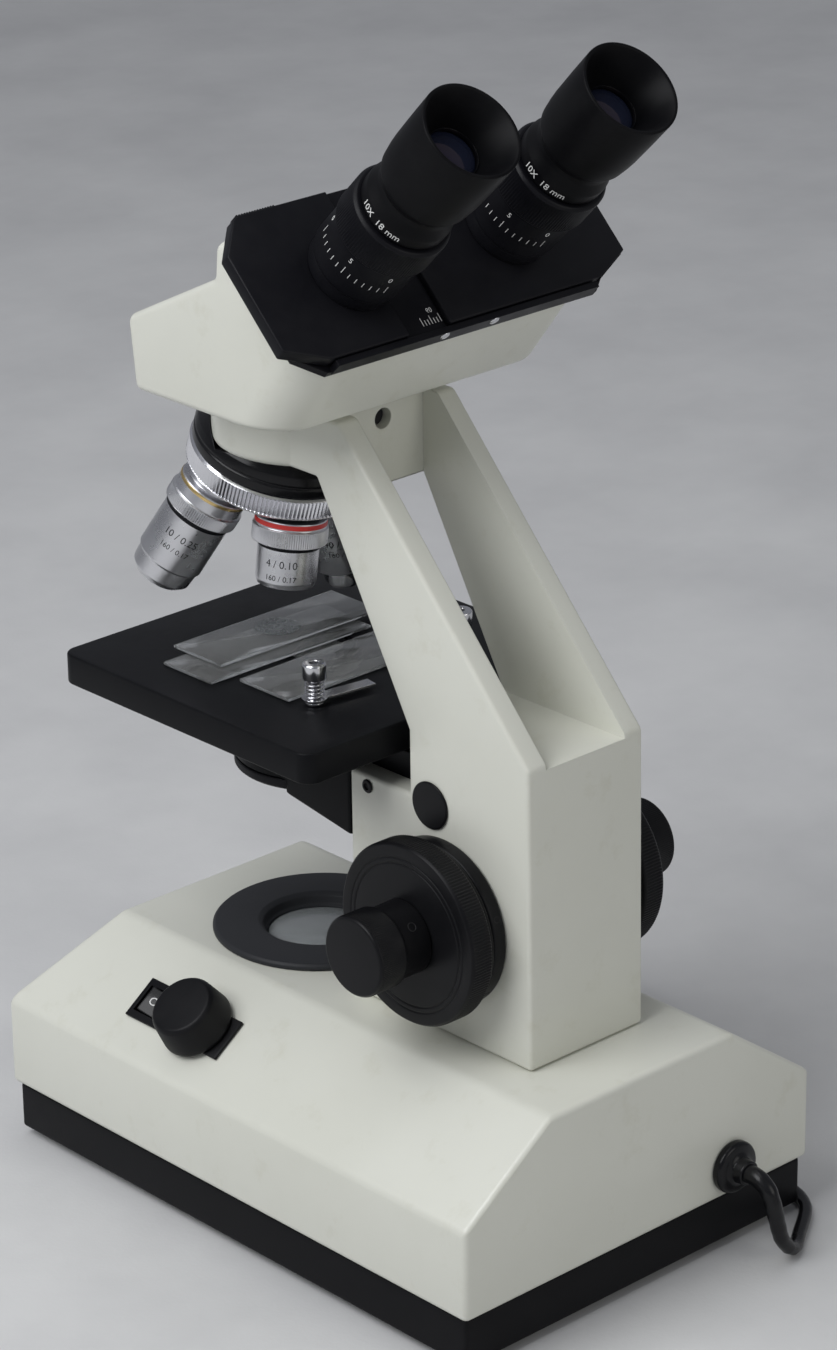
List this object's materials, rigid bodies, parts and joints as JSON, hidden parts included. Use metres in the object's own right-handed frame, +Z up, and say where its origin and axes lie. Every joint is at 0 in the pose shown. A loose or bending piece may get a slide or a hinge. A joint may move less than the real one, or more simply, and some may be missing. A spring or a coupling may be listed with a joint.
{
  "type": "binocular microscope",
  "caption": "Upright binocular microscope with a forked white arm, black stage, tilted nosepiece with objectives, coaxial focus knobs and a lit base with mains lead.",
  "frame": {"origin": "centre of the footprint, on the surface the feet stand on", "axes": "+Z up, +Y towards the arm and the mains lead, -Y towards the stage, +X the side with the power switch and dimmer"},
  "size_m": [0.2389, 0.2871, 0.4318],
  "materials": {
    "white_paint": "warm off-white semi-gloss baked paint on a casting",
    "white_shell": "warm off-white semi-gloss paint on sheet metal",
    "black_plastic": "black satin moulded plastic",
    "black_satin": "black anodised aluminium, satin",
    "black_paint": "charcoal fine-textured paint",
    "rubber": "black rubber",
    "chrome": "bright chrome plate",
    "steel": "satin turned steel",
    "satin_metal": "satin chrome on light alloy",
    "glass": "clear glass",
    "ceramic": "off-white ceramic",
    "transformer": "laminated core in dark varnish"
  },
  "bodies": {
    "base": {"base_housing": "white_shell", "bottom_tray": "black_plastic", "foot_front_left": "rubber", "foot_front_right": "rubber", "foot_rear_left": "rubber", "foot_rear_right": "rubber", "switch_bezel": "black_plastic", "collector_ring": "black_plastic", "collector_lens": "glass", "lamp_bulb": "glass", "lamp_socket": "ceramic", "transformer": "transformer", "cord_grip": "rubber", "cord_lead": "rubber", "cord_coil": "rubber", "cord_plug": "rubber", "arm_casting": "white_paint", "arm_plug": "black_plastic", "neck_lock_screw": "steel", "nosepiece_mount": "black_satin"},
    "power_rocker": {"switch_rocker": "black_plastic"},
    "dimmer": {"dimmer_knob": "black_plastic"},
    "head": {"head_housing": "white_paint", "prism_block": "glass", "face_rail": "black_satin"},
    "tube_left": {"tube_plate_left": "black_satin", "eyetube_left": "black_satin"},
    "tube_right": {"tube_plate_right": "black_satin", "eyetube_right": "black_satin"},
    "scale_left": {"diopter_ring_left": "black_satin"},
    "scale_right": {"diopter_ring_right": "black_satin"},
    "ocular_left": {"eyepiece_left": "black_plastic", "eye_lens_left": "glass"},
    "ocular_right": {"eyepiece_right": "black_plastic", "eye_lens_right": "glass"},
    "nosepiece": {"turret": "satin_metal", "objective_4x": "satin_metal", "objective_10x": "satin_metal", "objective_40x": "satin_metal", "port_plug": "black_plastic"},
    "spring_nose": {"objective_40x_nose": "chrome"},
    "coarse_drive": {"coarse_shaft": "steel", "coarse_knob_left": "black_plastic", "coarse_knob_right": "black_plastic"},
    "fine_drive": {"fine_shaft": "steel", "fine_knob_left": "black_plastic", "fine_knob_right": "black_plastic"},
    "tension": {"tension_ring": "black_plastic"},
    "carriage": {"focus_carriage": "black_paint"},
    "stage": {"stage_bracket": "black_paint", "stage_plate": "black_paint", "condenser": "black_satin", "clip_post_left": "chrome", "clip_post_right": "chrome", "slide_top": "glass", "slide_low": "glass", "slide_near": "glass"},
    "iris": {"iris_ring": "black_satin"},
    "clip_left": {"clip_blade_left": "steel"},
    "clip_right": {"clip_blade_right": "steel"}
  },
  "joints": [
    {"name": "head_swivel", "type": "hinge", "parent": "base", "child": "head", "pos_m": [0, -0.04325, 0.3048], "axis": [0, 0, 1], "continuous": true},
    {"name": "tube_left_slide", "type": "slide", "parent": "head", "child": "tube_left", "axis": [1, 0, 0], "range_m": [-0.0065, 0.0015]},
    {"name": "tube_right_slide", "type": "slide", "parent": "head", "child": "tube_right", "axis": [1, 0, 0], "range_m": [-0.0015, 0.0065]},
    {"name": "scale_left_turn", "type": "hinge", "parent": "tube_left", "child": "scale_left", "pos_m": [0.0358, 0.03571, 0.37541], "axis": [0, 0.7071, 0.7071], "range_deg": [-60, 60]},
    {"name": "scale_right_turn", "type": "hinge", "parent": "tube_right", "child": "scale_right", "pos_m": [-0.0358, 0.03571, 0.37541], "axis": [0, 0.7071, 0.7071], "range_deg": [-60, 60]},
    {"name": "eyepiece_left_lift", "type": "slide", "parent": "tube_left", "child": "ocular_left", "axis": [0, 0.7071, 0.7071], "range_m": [0, 0.03]},
    {"name": "eyepiece_right_lift", "type": "slide", "parent": "tube_right", "child": "ocular_right", "axis": [0, 0.7071, 0.7071], "range_m": [0, 0.03]},
    {"name": "nosepiece_turn", "type": "hinge", "parent": "base", "child": "nosepiece", "pos_m": [0, -0.05986, 0.26444], "axis": [0, -0.3322, -0.9432], "continuous": true},
    {"name": "nose_spring", "type": "slide", "parent": "nosepiece", "child": "spring_nose", "axis": [0.3073, 0.1944, 0.9315], "range_m": [0, 0.0025], "stiffness_N_per_m": 300, "springref_m": -0.002},
    {"name": "coarse_turn", "type": "hinge", "parent": "base", "child": "coarse_drive", "pos_m": [0, 0.05435, 0.1309], "axis": [1, 0, 0], "range_deg": [0, 80.5]},
    {"name": "carriage_slide", "type": "slide", "parent": "base", "child": "carriage", "axis": [0, 0, 1], "range_m": [-0.0112, 0]},
    {"name": "fine_turn", "type": "hinge", "parent": "base", "child": "fine_drive", "pos_m": [0, 0.05435, 0.1309], "axis": [1, 0, 0], "range_deg": [-144, 717]},
    {"name": "stage_fine_slide", "type": "slide", "parent": "carriage", "child": "stage", "axis": [0, 0, 1], "range_m": [-0.001, 0.0002]},
    {"name": "tension_turn", "type": "hinge", "parent": "base", "child": "tension", "pos_m": [0, 0.05435, 0.1309], "axis": [1, 0, 0], "range_deg": [-45, 45]},
    {"name": "rocker_tilt", "type": "hinge", "parent": "base", "child": "power_rocker", "pos_m": [0.064, -0.05625, 0.06679], "axis": [0.8116, 0, -0.5843], "range_deg": [0, 16]},
    {"name": "dimmer_turn", "type": "hinge", "parent": "base", "child": "dimmer", "pos_m": [0.06744, -0.03425, 0.07158], "axis": [0.5843, 0, 0.8116], "range_deg": [0, 270]},
    {"name": "iris_turn", "type": "hinge", "parent": "stage", "child": "iris", "pos_m": [0, -0.04325, 0.1544], "axis": [0, 0, 1], "range_deg": [-45, 45]},
    {"name": "clip_left_swing", "type": "hinge", "parent": "stage", "child": "clip_left", "pos_m": [0.035, -0.00375, 0.1986], "axis": [0, 0, 1], "range_deg": [-50, 50]},
    {"name": "clip_right_swing", "type": "hinge", "parent": "stage", "child": "clip_right", "pos_m": [-0.035, -0.00375, 0.1986], "axis": [0, 0, 1], "range_deg": [-50, 50]}
  ],
  "couplings": [
    {"joint": "tube_right_slide", "follows": "tube_left_slide", "ratio": -1},
    {"joint": "coarse_turn", "follows": "carriage_slide", "rad_per_m": -125},
    {"joint": "fine_turn", "follows": "stage_fine_slide", "rad_per_m": -12500}
  ]
}
